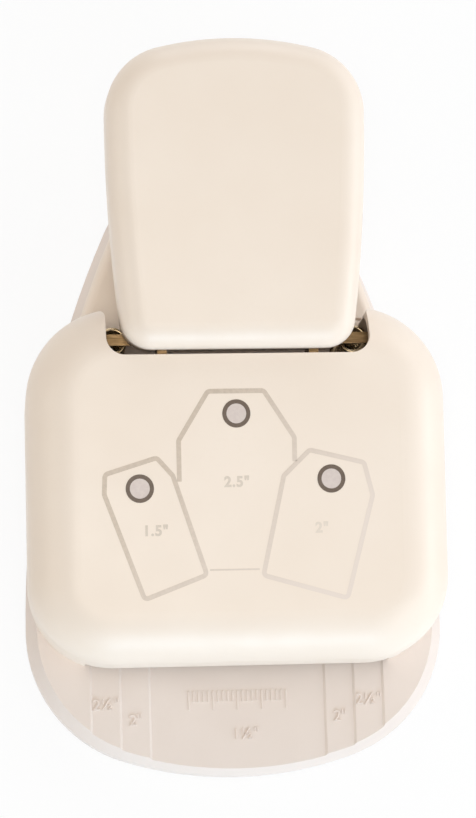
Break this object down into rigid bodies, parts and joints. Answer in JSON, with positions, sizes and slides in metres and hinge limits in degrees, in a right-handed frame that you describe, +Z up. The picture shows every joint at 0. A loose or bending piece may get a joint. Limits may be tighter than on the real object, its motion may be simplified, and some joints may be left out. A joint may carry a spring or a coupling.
{
  "type": "tag punch",
  "caption": "Desk punch that cuts the top corners and the string hole of a paper tag: stepped paper guides in front, a cushion-shaped cover and a sprung paddle handle behind.",
  "frame": {"origin": "on the floor plane, under the middle of the overall box", "axes": "+X to the user's right, -Y towards the paper entry at the front, +Y towards the handle's free end, +Z up"},
  "size_m": [0.091, 0.1547, 0.0505],
  "materials": {
    "cream_plastic": "moulded, satin",
    "beige_plastic": "moulded, satin",
    "rubber": "matt",
    "plated_steel": "zinc plated, yellow passivated",
    "tool_steel": "ground",
    "bright_steel": "turned and polished",
    "screw_steel": "zinc plated",
    "spring_steel": "drawn wire",
    "zinc_casting": "die cast"
  },
  "bodies": {
    "base": {"base_tray": "beige_plastic", "bottom_plate": "beige_plastic", "rubber_feet": "rubber", "slot_spacer_left": "plated_steel", "slot_spacer_right": "plated_steel", "die_plate": "tool_steel", "guide_plate": "plated_steel", "paper_stop": "plated_steel", "stack_screws": "screw_steel", "guide_posts": "bright_steel", "post_clips": "bright_steel", "pivot_bracket_left": "plated_steel", "pivot_bracket_right": "plated_steel", "bracket_screws": "screw_steel", "pivot_clips": "bright_steel", "pivot_pin": "bright_steel", "pivot_sleeve": "bright_steel", "top_cover": "cream_plastic", "case_screws": "screw_steel", "rear_deck": "cream_plastic", "deck_screws": "screw_steel", "deck_bumpers": "rubber", "return_spring_left": "spring_steel", "return_spring_right": "spring_steel"},
    "lever": {"lever_frame": "plated_steel", "press_bar": "bright_steel", "spring_bridge": "plated_steel", "handle_shell": "cream_plastic", "handle_underplate": "cream_plastic", "handle_screws": "screw_steel"},
    "head": {"punch_head": "zinc_casting", "corner_cutter_left": "tool_steel", "corner_cutter_right": "tool_steel", "hole_punch_pin": "tool_steel", "cutter_screws": "screw_steel"}
  },
  "joints": [
    {"name": "lever_press", "type": "hinge", "parent": "base", "child": "lever", "pos_m": [0, -0.0422, 0.021], "axis": [-1, 0, 0], "range_deg": [0, 9], "stiffness_Nm_per_rad": 0.6, "springref_deg": -17.19, "deforming": ["return_spring_left", "return_spring_right"]},
    {"name": "punch_slide", "type": "slide", "parent": "base", "child": "head", "axis": [0, 0, -1], "range_m": [0, 0.00438]}
  ],
  "couplings": [
    {"joint": "punch_slide", "follows": "lever_press", "m_per_rad": 0.02788}
  ]
}
